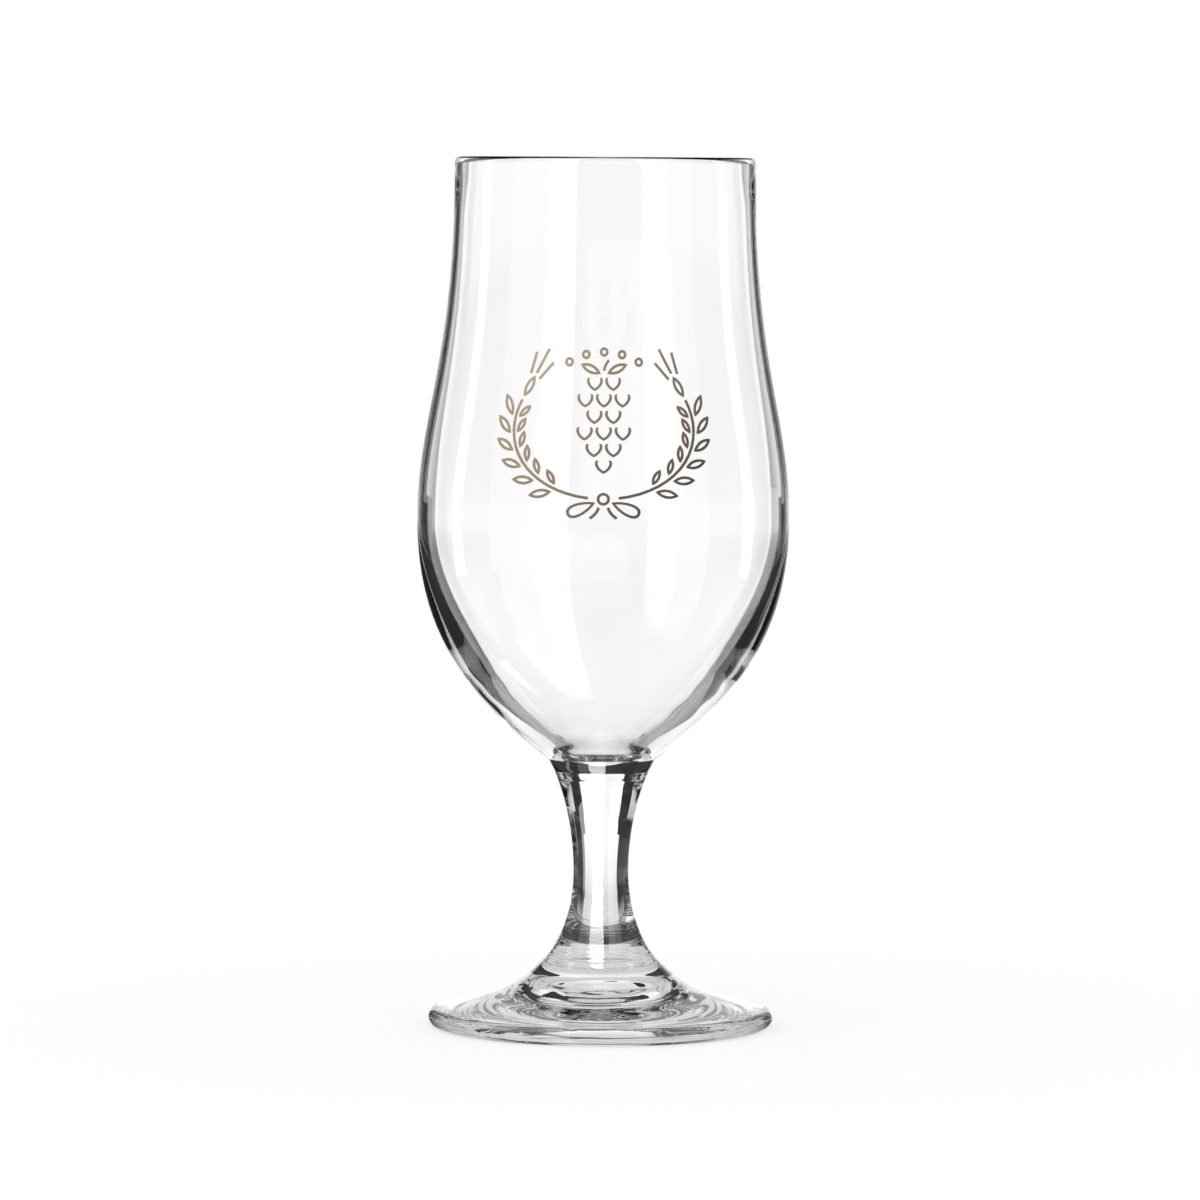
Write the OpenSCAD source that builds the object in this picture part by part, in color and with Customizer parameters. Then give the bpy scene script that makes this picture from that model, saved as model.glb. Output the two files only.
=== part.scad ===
// Stemmed tulip beer glass: a blown bowl, a waisted solid stem and a pressed foot, fused end to end,
// with a line ornament of a hop cone and two barley ears fired onto the front of the bowl.
// Millimetres, +Z up. The origin is the middle of the ring that the glass stands on, and the print faces -Y.

/* [Bowl] */
// Height of the bowl from its joint with the stem to the rim
bowl_h = 134; // [125:1:145]
// Outside diameter at the rim
rim_d = 67; // [62:0.5:72]
// Outside diameter at the belly, the widest place
belly_d = 83; // [78:0.5:90]
// Height of the belly above the joint with the stem
belly_h = 53.2; // [48:0.2:58]
// How far the side keeps the rim's direction below the rim
rim_run = 45.5; // [35:0.5:50]
// How far the side keeps upright above the belly
belly_rise = 23.8; // [16:0.2:28]
// How far the side keeps upright below the belly
belly_drop = 27.4; // [22:0.2:31]
// Angle from the level at which the bowl meets the stem
base_angle = 37; // [30:1:42]
// How far the underside keeps that angle outside the joint
base_run = 19.5; // [14:0.5:22]

/* [Glass thickness] */
// Wall at the rim, which ends in a lip of the same thickness, rounded by the flame
rim_wall = 1.5; // [1.2:0.1:2.2]
// Wall at the belly
belly_wall = 2.2; // [1.8:0.1:2.8]
// Glass between the floor of the bowl and the joint with the stem
floor_wall = 1; // [0.8:0.1:3]
// How far the inside keeps upright below the belly
inside_drop = 32.5; // [26:0.5:35]
// How far the floor of the bowl keeps level from its middle
inside_floor = 6; // [4:0.5:9]

/* [Stem] */
// Length of the stem between its two joints
stem_h = 43; // [38:0.5:60]
// Diameter of the stem's flared top, at the joint with the bowl
stem_top_d = 24; // [20:0.2:28]
// Angle from the level at which the flared top leaves the joint
stem_top_angle = 61; // [50:1:70]
// How far the flared top keeps that angle
stem_top_run = 8.1; // [5:0.1:10]
// Diameter at the waist, the thinnest place
waist_d = 12.3; // [10:0.1:15]
// Height of the waist above the joint with the foot
waist_h = 18; // [16:0.2:21]
// How far the stem keeps upright above the waist
waist_rise = 8.1; // [5:0.1:10]
// How far the stem keeps upright below the waist
waist_drop = 7.2; // [4:0.1:9]

/* [Foot] */
// Diameter of the foot
foot_d = 77; // [70:0.5:86]
// Height of the foot from the table to its joint with the stem
foot_h = 17; // [15:0.5:20]
// Diameter of the joint between stem and foot
neck_d = 22.2; // [19:0.2:25]
// Angle from the level of the side at that joint
neck_angle = 55; // [48:1:60]
// How far the stem keeps that angle above the joint
neck_rise = 5.1; // [3:0.1:7]
// How far the foot keeps that angle below the joint
neck_fall = 9; // [6:0.1:10]
// Thickness of the foot's rounded edge
edge_t = 4.2; // [3:0.1:5]
// Slope of the foot's top at its edge
edge_slope = 5; // [3:0.5:8]
// How far the foot's top keeps that slope inside the edge
edge_run = 10; // [6:0.5:13]
// Width of the flat ring that the glass stands on
rest_w = 3; // [2:0.5:6]
// Depth of the hollow pressed into the underside
hollow_depth = 1.6; // [0.8:0.1:3]

/* [Print] */
// Height of the middle of the print above the bowl's joint
print_h = 74; // [70:0.5:80]
// Width of the printed lines
line_w = 0.62; // [0.5:0.02:0.7]
// Thickness of the fired ink
ink_t = 0.12; // [0.08:0.01:0.2]
// Gap between the ink and the glass, which lets flat facets clear the round wall
ink_gap = 0.02; // [0.01:0.01:0.05]
// Half width of the wreath, to the stalk of each ear
wreath_w = 20.5; // [19.5:0.1:21.5]
// Half height of the wreath, to the stalk of each ear
wreath_h = 15.5; // [15:0.1:16.5]
// Height of the wreath's middle above the middle of the print
wreath_rise = 1.5; // [0.5:0.1:2.5]
// Length of a grain
grain_l = 4.6; // [4:0.1:4.8]
// Width of a grain
grain_w = 1.4; // [1.2:0.1:1.5]
// Size of the grains inside the wreath, as a share of those outside
inner_grain = 0.72; // [0.6:0.02:0.76]
// Angle between a grain and its stalk
grain_spread = 36; // [33:1:40]
// Length of the middle awn at the tip of each ear
awn_l = 6; // [4:0.5:6.5]
// Width of a bract of the hop cone
bract_w = 3.2; // [2.6:0.1:3.4]
// Height of a bract of the hop cone
bract_h = 2.6; // [2.2:0.1:2.8]
// Length of the hop cone's stalk
cone_stalk_l = 3.8; // [3:0.1:5]
// Clear space left between neighbouring lines
line_gap = 0.35; // [0.2:0.05:0.4]
// Length of each loop of the bow
bow_l = 6; // [5:0.1:7]
// Width of each loop of the bow
bow_w = 2.5; // [2:0.1:2.8]
// Diameter of the bow's knot
knot_d = 2.2; // [1.8:0.1:2.6]
// Length of each tail of the bow
tail_l = 3; // [2:0.1:4]
// Diameter of the small rings over the hop cone
ring_d = 1.5; // [1.2:0.1:1.6]

/* [Hidden] */
$fn = 96;

// Colours
glass_colour = [0.86, 0.90, 0.91, 0.45];
ink_colour = [0.42, 0.32, 0.23];

// Steps along each curve
side_steps = 44;
stem_steps = 26;
arc_steps = 14;
line_steps = 16;
grain_steps = 7;

// Heights of the joints, the belly, the rim and the print above the table
joint_z = foot_h + stem_h;
belly_z = joint_z + belly_h;
rim_z = joint_z + bowl_h;
waist_z = foot_h + waist_h;
print_z = joint_z + print_h;

// Points along curves
function bezier(p, t) =
    pow(1 - t, 3) * p[0] + 3 * pow(1 - t, 2) * t * p[1] + 3 * (1 - t) * t * t * p[2] + pow(t, 3) * p[3];
function curve(p, steps) = [for (i = [0:steps]) bezier(p, i / steps)];
function reversed(list) = [for (i = [len(list) - 1:-1:0]) list[i]];
function heading(angle) = [cos(angle), sin(angle)];
function arc(centre, r, from, to, steps) =
    [for (i = [0:steps]) centre + r * heading(from + (to - from) * i / steps)];

// Corner points of the outside and the inside
lip_r = rim_wall / 2;
rim_out = [rim_d / 2, rim_z - lip_r];
rim_in = rim_out - [rim_wall, 0];
belly_out = [belly_d / 2, belly_z];
belly_in = belly_out - [belly_wall, 0];
bowl_base = [stem_top_d / 2, joint_z];
floor_mid = [0, joint_z + floor_wall];
waist = [waist_d / 2, waist_z];
neck = [neck_d / 2, foot_h];
edge_r = edge_t / 2;
edge_mid = [foot_d / 2 - edge_r, edge_r];
edge_top = edge_mid + edge_r * heading(90 - edge_slope);
hollow_r = edge_mid[0] - rest_w;

// The curves of the bowl run downwards
upper_out = [rim_out, rim_out - [0, rim_run], belly_out + [0, belly_rise], belly_out];
lower_out = [belly_out, belly_out - [0, belly_drop], bowl_base + base_run * heading(base_angle), bowl_base];
upper_in = [rim_in, rim_in - [0, rim_run], belly_in + [0, belly_rise], belly_in];
lower_in = [belly_in, belly_in - [0, inside_drop], floor_mid + [inside_floor, 0], floor_mid];

// The curves of the stem and the foot run downwards too
stem_upper = [bowl_base, bowl_base - stem_top_run * heading(stem_top_angle), waist + [0, waist_rise], waist];
stem_lower = [waist, waist - [0, waist_drop], neck + neck_rise * heading(180 - neck_angle), neck];
foot_top = [neck, neck + neck_fall * heading(-neck_angle), edge_top + edge_run * heading(180 - edge_slope),
            edge_top];

// Outside radius of the bowl at a height, found by halving the step along the falling curve
function step_at(p, z, low = 0, high = 1, turns = 22) =
    let (mid = (low + high) / 2)
    turns == 0 ? mid
    : bezier(p, mid)[1] > z ? step_at(p, z, mid, high, turns - 1)
    : step_at(p, z, low, mid, turns - 1);
function side_r(z) =
    let (p = z > belly_z ? upper_out : lower_out)
    bezier(p, step_at(p, z))[0];

module bowl() {
    lip = arc(rim_out - [lip_r, 0], lip_r, 180, 0, arc_steps);
    color(glass_colour)
    rotate_extrude()
    polygon(concat(lip, curve(upper_out, side_steps), curve(lower_out, side_steps), [[0, joint_z]],
                   reversed(curve(lower_in, side_steps)), reversed(curve(upper_in, side_steps))));
}

module stem() {
    color(glass_colour)
    rotate_extrude()
    polygon(concat([[0, joint_z]], curve(stem_upper, stem_steps), curve(stem_lower, stem_steps),
                   [[0, foot_h]]));
}

module foot() {
    // The hollow is a shallow dome that ends at the flat ring
    hollow = [for (i = [0:arc_steps]) [hollow_r * i / arc_steps, hollow_depth * (1 - pow(i / arc_steps, 2))]];
    edge = arc(edge_mid, edge_r, -90, 90 - edge_slope, arc_steps);
    color(glass_colour)
    rotate_extrude()
    polygon(concat(hollow, edge, reversed(curve(foot_top, stem_steps)), [[0, foot_h]]));
}

// The print is drawn flat, in millimetres across and up from its middle, and wrapped round the bowl.
// A line is [closed, left edge, right edge], and becomes a ribbon of ink between its edges.
print_r = side_r(print_z);
function on_bowl(p, lift) =
    let (r = side_r(print_z + p[1]) + lift, turn = p[0] / print_r * 180 / PI)
    [r * sin(turn), -r * cos(turn), print_z + p[1]];
function ribbon_points(line) =
    [for (i = [0:len(line[1]) - 1])
        each [on_bowl(line[1][i], ink_gap), on_bowl(line[2][i], ink_gap),
              on_bowl(line[2][i], ink_gap + ink_t), on_bowl(line[1][i], ink_gap + ink_t)]];
function ribbon_faces(line, first) =
    let (n = len(line[1]), last = first + 4 * (n - 1))
    concat([for (i = [0:line[0] ? n - 1 : n - 2], k = [0:3])
               let (a = first + 4 * i, b = first + 4 * ((i + 1) % n), m = (k + 1) % 4)
               each [[a + k, a + m, b + m], [a + k, b + m, b + k]]],
           line[0] ? []
           : [[first + 3, first + 2, first + 1], [first + 3, first + 1, first],
              [last, last + 1, last + 2], [last, last + 2, last + 3]]);
function points_before(lines, k) = k == 0 ? 0 : 4 * len(lines[k - 1][1]) + points_before(lines, k - 1);

module ink(lines) {
    color(ink_colour)
    polyhedron(points = [for (line = lines) each ribbon_points(line)],
               faces = [for (k = [0:len(lines) - 1]) each ribbon_faces(lines[k], points_before(lines, k))]);
}

// A stroke is as wide as the line all along its path
function unit(v) = v / norm(v);
function left_of(closed, path, i) =
    let (n = len(path),
         before = closed ? (i + n - 1) % n : max(i - 1, 0),
         after = closed ? (i + 1) % n : min(i + 1, n - 1),
         way = unit(path[after] - path[before]))
    [-way[1], way[0]] * line_w / 2;
function stroke(closed, path) =
    [closed, [for (i = [0:len(path) - 1]) path[i] + left_of(closed, path, i)],
             [for (i = [0:len(path) - 1]) path[i] - left_of(closed, path, i)]];
function straight(start, angle, l) = stroke(false, [for (i = [0:2]) start + heading(angle) * l * i / 2]);
function circle_line(middle, d, steps) =
    stroke(true, [for (i = [0:steps - 1]) middle + d / 2 * heading(360 * i / steps)]);

// Lines moved and turned, or mirrored, where the edges change sides
function moved(points, to, angle) =
    [for (p = points) to + p[0] * heading(angle) + p[1] * heading(angle + 90)];
function placed(line, to, angle) = [line[0], moved(line[1], to, angle), moved(line[2], to, angle)];
function flipped(points) = [for (p = points) [-p[0], p[1]]];
function mirrored(lines) = [for (line = lines) [line[0], flipped(line[2]), flipped(line[1])]];

// Pointed shapes have an outer and an inner edge of their own, so that the ink never crosses itself at a point
tip_ink = line_w * 1.15;
function looped(side) = concat(side, [for (i = [len(side) - 2:-1:1]) [side[i][0], -side[i][1]]]);
// An almond along the first axis, pointed at both ends
function almond(from, to, w) =
    let (l = to - from)
    looped(curve([[from, 0], [from + l * 0.3, w * 0.67], [from + l * 0.7, w * 0.67], [to, 0]], grain_steps));
function almond_line(l, w) =
    [true, almond(-line_w / 2, l + line_w / 2, w + line_w), almond(tip_ink, l - tip_ink, w - line_w)];
// A drop with its round end near the origin and its point along the first axis
function drop(from, to, w) =
    let (l = to - from)
    looped(curve([[from, 0], [from, w * 0.72], [from + l * 0.62, w * 0.55], [to, 0]], grain_steps + 1));
function drop_line(l, w) =
    [true, drop(-line_w / 2, l + line_w / 2, w + line_w), drop(line_w / 2, l - tip_ink, w - line_w)];
// A scale, open at its shoulders, with its blunt point along the first axis
function scale_edge(l, w) =
    let (side = curve([[0, w * 0.42], [l * 0.3, w * 0.6], [l * 0.8, w * 0.36], [l, 0]], grain_steps))
    concat(side, [for (i = [grain_steps - 1:-1:0]) [side[i][0], -side[i][1]]]);
function scale_line(l, w) =
    [false, scale_edge(l + line_w / 2, w + line_w), scale_edge(l - line_w / 2, w - line_w)];

// One barley ear, the right one: stalk, pairs of grains, a grain at the tip, and three awns
ear_from = 32;
ear_to = 112;
stalk_from = 9;
awn_fan = 14;
side_awn = 0.8;
line_step = line_w + line_gap;
function stalk_at(a) = [wreath_w * sin(a), wreath_rise - wreath_h * cos(a)];
function stalk_heading(a) = atan2(wreath_h * sin(a), wreath_w * cos(a));
// The ear holds as many pairs as fit along it, one beside the other
grain_pitch = (grain_w + line_step) / sin(grain_spread);
ear_l = norm([wreath_w, wreath_h]) / sqrt(2) * (ear_to - ear_from) * PI / 180;
grain_pairs = floor(ear_l / grain_pitch);
function grain_angle(i) = ear_from + (ear_to - ear_from) * i / grain_pairs;
// Side -1 is the outside of the wreath, and side 1 the inside, where the grains are smaller
function grain_size(side) = side < 0 ? 1 : inner_grain;
function grain(i, side) =
    let (turn = stalk_heading(grain_angle(i)),
         start = stalk_at(grain_angle(i)) + line_step * heading(turn + side * 90))
    placed(almond_line(grain_size(side) * grain_l, grain_size(side) * grain_w), start,
           turn + side * grain_spread);
function ear_lines() =
    let (turn = stalk_heading(ear_to),
         tip = stalk_at(ear_to) + line_step * heading(turn),
         end = tip + (grain_l + line_step) * heading(turn))
    concat([stroke(false, [for (i = [0:line_steps])
                              stalk_at(stalk_from + (ear_to - stalk_from) * i / line_steps)])],
           [for (i = [0:grain_pairs - 1], side = [-1, 1]) grain(i, side)],
           [placed(almond_line(grain_l, grain_w), tip, turn)],
           [straight(end, turn, awn_l)],
           [for (side = [-1, 1])
               straight(end + line_step * (1.3 * heading(turn + side * 90) - 0.8 * heading(turn)),
                        turn + side * awn_fan, awn_l * side_awn)]);

// The hop cone: staggered rows of bracts that hang point down, under two small leaves and a stalk
bract_rows = [2, 3, 2, 3, 2, 1];
bract_pitch = bract_w + line_step;
row_pitch = bract_h + line_step;
cone_top = wreath_rise + row_pitch * len(bract_rows) / 2;
leaf_angle = 24;
function cone_leaf() =
    placed(almond_line(grain_l, grain_w), [line_step, cone_top + line_step], leaf_angle);
function bract(row, k) =
    placed(scale_line(bract_h, bract_w),
           [(k - (bract_rows[row] - 1) / 2) * bract_pitch, cone_top - row * row_pitch], -90);
function hop_lines() =
    concat([for (row = [0:len(bract_rows) - 1], k = [0:bract_rows[row] - 1]) bract(row, k)],
           [cone_leaf()], mirrored([cone_leaf()]),
           [stroke(false, curve([[0, cone_top + line_step * 1.5], [0, cone_top + cone_stalk_l / 2],
                                 [cone_stalk_l * 0.1, cone_top + cone_stalk_l * 0.8],
                                 [cone_stalk_l * 0.3, cone_top + cone_stalk_l]], grain_steps))]);

// The bow that ties the two stalks: a knot, two loops and two tails
bow_mid = [0, wreath_rise - wreath_h];
loop_start = knot_d / 2 + line_step;
loop_angle = 24;
tail_angle = 62;
knot_steps = 14;
tail_steps = 6;
function bow_side() =
    let (loop_end = bow_mid + (loop_start + bow_l) * heading(-loop_angle),
         tail_at = bow_mid + loop_start * heading(-tail_angle))
    [placed(drop_line(bow_l, bow_w), loop_end, 180 - loop_angle),
     stroke(false, curve([tail_at, tail_at + heading(-tail_angle - 15) * tail_l / 3,
                          tail_at + heading(-tail_angle) * tail_l * 2 / 3,
                          tail_at + heading(-tail_angle + 10) * tail_l], tail_steps))];
function bow_lines() =
    concat([circle_line(bow_mid, knot_d, knot_steps)], bow_side(), mirrored(bow_side()));

// Five small rings in an arc that clears the stalk of the hop cone
ring_count = 5;
ring_spread = 15;
ring_steps = 12;
ring_arc_r = max(wreath_h, cone_top + cone_stalk_l - wreath_rise + line_step) + ring_d / 2;
function ring_at(i) =
    [0, wreath_rise] + ring_arc_r * heading(90 + ring_spread * (i - (ring_count - 1) / 2));
function ring_lines() = [for (i = [0:ring_count - 1]) circle_line(ring_at(i), ring_d, ring_steps)];

module print_hop_cone() { ink(hop_lines()); }
module print_left_barley() { ink(mirrored(ear_lines())); }
module print_right_barley() { ink(ear_lines()); }
module print_bow() { ink(bow_lines()); }
module print_rings() { ink(ring_lines()); }

bowl();
stem();
foot();
print_hop_cone();
print_left_barley();
print_right_barley();
print_bow();
print_rings();
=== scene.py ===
"""Dresses a stemmed tulip beer glass: smooth glass, bronze ink on its print, and a white studio."""

import math

import bpy
import numpy as np
from mathutils import Matrix, Vector


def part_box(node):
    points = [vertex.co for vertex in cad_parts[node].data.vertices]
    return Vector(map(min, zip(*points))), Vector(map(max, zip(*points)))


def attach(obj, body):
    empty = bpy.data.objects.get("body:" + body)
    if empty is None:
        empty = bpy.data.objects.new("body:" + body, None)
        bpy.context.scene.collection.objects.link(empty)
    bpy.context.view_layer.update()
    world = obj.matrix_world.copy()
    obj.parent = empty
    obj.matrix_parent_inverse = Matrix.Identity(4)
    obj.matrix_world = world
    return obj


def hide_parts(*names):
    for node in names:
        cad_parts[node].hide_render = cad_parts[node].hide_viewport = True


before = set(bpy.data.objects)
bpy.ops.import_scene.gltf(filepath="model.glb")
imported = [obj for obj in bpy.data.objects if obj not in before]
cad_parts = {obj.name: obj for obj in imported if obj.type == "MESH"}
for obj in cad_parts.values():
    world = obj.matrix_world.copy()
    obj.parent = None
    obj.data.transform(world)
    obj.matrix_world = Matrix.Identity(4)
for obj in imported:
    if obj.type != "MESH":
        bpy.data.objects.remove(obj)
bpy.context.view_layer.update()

bl_info = {
    "name": "Tulip beer glass",
    "version": (1, 0, 0),
    "blender": (4, 5, 0),
    "location": "View3D > Sidebar > Glass",
    "description": "Blown bowl, drawn stem, pressed foot and fired bronze print of a tulip beer glass",
    "category": "Add Mesh",
}

# What the solids give: heights of the joints and the rim, and the largest widths
BOWL_LOW, BOWL_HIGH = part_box("bowl")
STEM_LOW, STEM_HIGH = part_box("stem")
FOOT_LOW, FOOT_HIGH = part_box("foot")
JOINT_HEIGHT = BOWL_LOW.z
RIM_HEIGHT = BOWL_HIGH.z
FOOT_HEIGHT = FOOT_HIGH.z
PRINT_NODES = ("print_hop_cone", "print_left_barley", "print_right_barley", "print_bow", "print_rings")
# Steps round the axis, and the bend from which an edge of the mesh is sharp
TURNS = 192
SHARP_BEND = math.radians(38)


def length(name, description, default):
    return bpy.props.FloatProperty(
        name=name, description=description, default=default, min=0, unit="LENGTH", precision=5
    )


def slope(name, description, degrees):
    return bpy.props.FloatProperty(
        name=name, description=description, default=math.radians(degrees), subtype="ANGLE"
    )


def number(name, description, default):
    return bpy.props.FloatProperty(name=name, description=description, default=default, precision=4)


def share(name, description, default):
    return bpy.props.FloatProperty(
        name=name, description=description, default=default, min=0, max=1, subtype="FACTOR"
    )


def colour(name, description, default):
    return bpy.props.FloatVectorProperty(
        name=name, description=description, default=default, size=3, min=0, max=1, subtype="COLOR"
    )


class BowlSizes(bpy.types.PropertyGroup):
    """Outside and inside of the bowl."""

    mouth_width: length("Mouth width", "Outside width at the rim", 0.067)
    belly_width: length("Belly width", "Largest outside width", BOWL_HIGH.x - BOWL_LOW.x)
    belly_height: length("Belly height", "Height of the belly above the joint with the stem", 0.0532)
    base_width: length("Base width", "Width at the joint with the stem", STEM_HIGH.x - STEM_LOW.x)
    mouth_pull: length("Mouth pull", "How far the side stays upright below the rim", 0.0455)
    belly_pull_up: length("Belly pull up", "How far the side stays upright above the belly", 0.0238)
    belly_pull_down: length("Belly pull down", "How far the side stays upright below the belly", 0.0274)
    base_slope: slope("Base slope", "Rise of the outside at the joint with the stem", 37)
    base_pull: length("Base pull", "How far the outside keeps that rise", 0.0195)
    lip_wall: length("Lip wall", "Thickness of the glass below the rim", 0.0015)
    lip_bead: length("Lip bead", "How much thicker the fire-polished rim is", 0.0005)
    lip_height: length("Lip height", "Height of the rounding of the rim", 0.0015)
    belly_wall: length("Belly wall", "Thickness of the glass at the belly", 0.0022)
    floor_wall: length("Floor wall", "Thickness of the floor over the joint", 0.001)
    inside_pull_down: length("Inside pull down", "How far the inside stays upright below the belly", 0.0325)
    inside_pull_floor: length("Inside pull floor", "How far the floor stays level from its middle", 0.006)
    wave: length("Wave", "How uneven the thick wall over the floor is", 0.00016)
    floor_ring: length("Floor ring", "Depth of the ring that the blowing leaves in the floor", 0.00022)
    floor_dish: length("Floor dish", "How much the floor sinks inside the ring", 0.0003)
    floor_knob: length("Floor knob", "Height of the knob beside the middle of the floor", 0.0003)


class StemSizes(bpy.types.PropertyGroup):
    """The stem from the bowl down to the foot."""

    top_slope: slope("Top slope", "Fall of the side under the bowl", 61)
    top_pull: length("Top pull", "How far the side keeps that fall", 0.0081)
    waist_width: length("Waist width", "Smallest width", 0.0123)
    waist_height: length("Waist height", "Height of the waist above the foot", 0.018)
    waist_pull_up: length("Waist pull up", "How far the side stays upright above the waist", 0.0081)
    waist_pull_down: length("Waist pull down", "How far the side stays upright below the waist", 0.0072)
    neck_width: length("Neck width", "Width at the joint with the foot", 0.0222)
    neck_slope: slope("Neck slope", "Fall of the side where the stem meets the foot", 55)
    neck_pull: length("Neck pull", "How far the stem keeps that fall", 0.0051)
    chill: length("Chill", "Depth of the chill marks of the mould", 0.00012)
    joint_mark: length("Joint mark", "Depth of the fine ring under the joint with the bowl", 0.00008)
    seam: length("Seam", "Depth of the fine rings where stem and foot meet", 0.00004)


class FootSizes(bpy.types.PropertyGroup):
    """The pressed foot."""

    width: length("Width", "Width over the rounded edge", FOOT_HIGH.x - FOOT_LOW.x)
    neck_pull: length("Neck pull", "How far the top keeps the fall of the stem", 0.009)
    edge_thickness: length("Edge thickness", "Height of the rounded edge", 0.0042)
    edge_slope: slope("Edge slope", "Fall of the top at the edge", 5)
    edge_pull: length("Edge pull", "How far the top keeps that fall", 0.010)
    rest_width: length("Rest width", "Width of the flat ring that the glass stands on", 0.003)
    hollow_depth: length("Hollow depth", "Depth of the hollow underside", 0.0016)
    mould_ring: length("Mould rings", "Height of the rings in the hollow underside", 0.0006)
    edge_streak: length("Edge streaks", "How uneven the rounded edge is", 0.00006)


class GlassFinish(bpy.types.PropertyGroup):
    """Clear glass."""

    tint: colour("Tint", "Colour of the glass", (1.0, 1.0, 1.0))
    bend: number("Refraction", "How strongly the glass bends light", 1.5)
    haze: share("Haze", "Roughness of the polished surface", 0.012)
    ripple: length("Ripple", "Height of the slow ripple in the surface", 0.00001)


class InkFinish(bpy.types.PropertyGroup):
    """Fired bronze ink, with a painted reflection that makes it light at the top left and dark at the bottom
    right.
    """

    # The light, middle and dark colours paint a reflection over the bronze ink: lighter at the top left,
    # darker at the bottom right
    light: colour("Light", "Colour at the top left", (0.40, 0.31, 0.19))
    middle: colour("Middle", "Colour in the middle", (0.20, 0.145, 0.095))
    dark: colour("Dark", "Colour at the bottom right", (0.040, 0.024, 0.015))
    gloss: share("Gloss", "How metallic the ink looks", 0.25)


class StageSettings(bpy.types.PropertyGroup):
    """White studio round the glass, and the camera."""

    daylight: number("Daylight", "Light of the white room on the floor and the ink", 1.0)
    lamp_power: bpy.props.FloatProperty(
        name="Lamp power", description="Power of the large soft lamp", default=3.0, unit="POWER"
    )
    camera_distance: length("Camera distance", "From the axis of the glass to the camera", 1.5237)
    camera_height: length("Camera height", "Height of the camera over the table", 0.1951)
    camera_fall: slope("Camera fall", "How far the camera looks down", 3.743)
    camera_roll: slope("Camera roll", "How far the camera leans", 0.35)
    camera_swing: slope("Camera swing", "How far the camera looks past the axis, to the left", 0.0226)
    lens: number("Lens", "Focal length in millimetres on a 36 mm frame", 205.5)
    wall_distance: length("Wall distance", "From the glass to the walls of the studio", 2.2)


class TulipGlass(bpy.types.PropertyGroup):
    """All settings of the glass."""

    bowl: bpy.props.PointerProperty(type=BowlSizes)
    stem: bpy.props.PointerProperty(type=StemSizes)
    foot: bpy.props.PointerProperty(type=FootSizes)
    glass: bpy.props.PointerProperty(type=GlassFinish)
    ink: bpy.props.PointerProperty(type=InkFinish)
    stage: bpy.props.PointerProperty(type=StageSettings)


# Shader nodes

# Fineness of the noises, in bumps per metre
RIPPLE_NOISE, WIPED_NOISE = 55, 140
SPECK_NOISE, CLOUD_NOISE = 2600, 160
# How much longer than wide the ripple is, as a scale along the axis
RIPPLE_DRAW = 0.4
# Painted reflection that darkens the ink across and down the print, and the random mottle of the noises
REFLECTION_ACROSS_SHARE, REFLECTION_DOWN_SHARE, CLOUD_SHARE, SPECK_SHARE = 0.62, 0.42, 0.1, 0.08
# Where the light, middle and dark colours of the ink and its painted reflection lie
INK_STOPS = (0.12, 0.5, 0.92)
INK_ROUGHNESS, INK_ROUGHNESS_SPECK = 0.36, 0.16
GRAIN_STRENGTH, GRAIN_HEIGHT = 0.4, 0.00002


class Value:
    """A node's output socket. Arithmetic on it adds Math nodes."""

    def __init__(self, tree, socket):
        self.tree, self.socket = tree, socket

    def math(self, operation, *values):
        return self.tree.add("ShaderNodeMath", {"operation": operation}, dict(enumerate(values)))

    def __add__(self, other):
        return self.math("ADD", self, other)

    def __sub__(self, other):
        return self.math("SUBTRACT", self, other)

    def __rsub__(self, other):
        return self.math("SUBTRACT", other, self)

    def __mul__(self, other):
        return self.math("MULTIPLY", self, other)

    def __truediv__(self, other):
        return self.math("DIVIDE", self, other)

    __radd__ = __add__

    def most(self, other):
        return self.math("MAXIMUM", self, other)


class Tree:
    """The node tree of a material or the world."""

    def __init__(self, owner):
        owner.use_nodes = True
        self.nodes, self.links = owner.node_tree.nodes, owner.node_tree.links
        self.nodes.clear()

    def add(self, kind, settings=None, inputs=None, output=0):
        """Adds a node: first its settings, then the values or links of its sockets."""
        node = self.nodes.new(kind)
        for name, value in (settings or {}).items():
            if name == "stops":
                ramp = node.color_ramp.elements
                while len(ramp) < len(value):
                    ramp.new(0.5)
                for stop, (place, shade) in zip(ramp, value):
                    stop.position = place
                    stop.color = (*shade, 1)
            else:
                setattr(node, name, value)
        for key, value in (inputs or {}).items():
            if isinstance(value, Value):
                self.links.new(value.socket, node.inputs[key])
            else:
                node.inputs[key].default_value = value
        return Value(self, node.outputs[output]) if len(node.outputs) else node


def new_material(name):
    material = bpy.data.materials.new(name)
    return material, Tree(material)


def clear_glass(finish):
    """Clear glass with a slow ripple from blowing and a breath of haze."""
    material, tree = new_material("blown_clear_glass")
    place = tree.add("ShaderNodeTexCoord", output="Object")
    drawn = tree.add("ShaderNodeMapping", {}, {"Vector": place, "Scale": (1, 1, RIPPLE_DRAW)})
    ripple = tree.add(
        "ShaderNodeTexNoise", {}, {"Vector": drawn, "Scale": RIPPLE_NOISE, "Detail": 1, "Roughness": 0.4}
    )
    normal = tree.add("ShaderNodeBump", {}, {"Height": ripple, "Strength": 1, "Distance": finish.ripple})
    wiped = tree.add("ShaderNodeTexNoise", {}, {"Vector": place, "Scale": WIPED_NOISE, "Detail": 3})
    shader = tree.add(
        "ShaderNodeBsdfPrincipled",
        {},
        {
            "Base Color": (*finish.tint, 1),
            "Roughness": wiped * finish.haze,
            "IOR": finish.bend,
            "Transmission Weight": 1.0,
            "Normal": normal,
        },
    )
    tree.add("ShaderNodeOutputMaterial", {}, {"Surface": shader})
    return material


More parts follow.
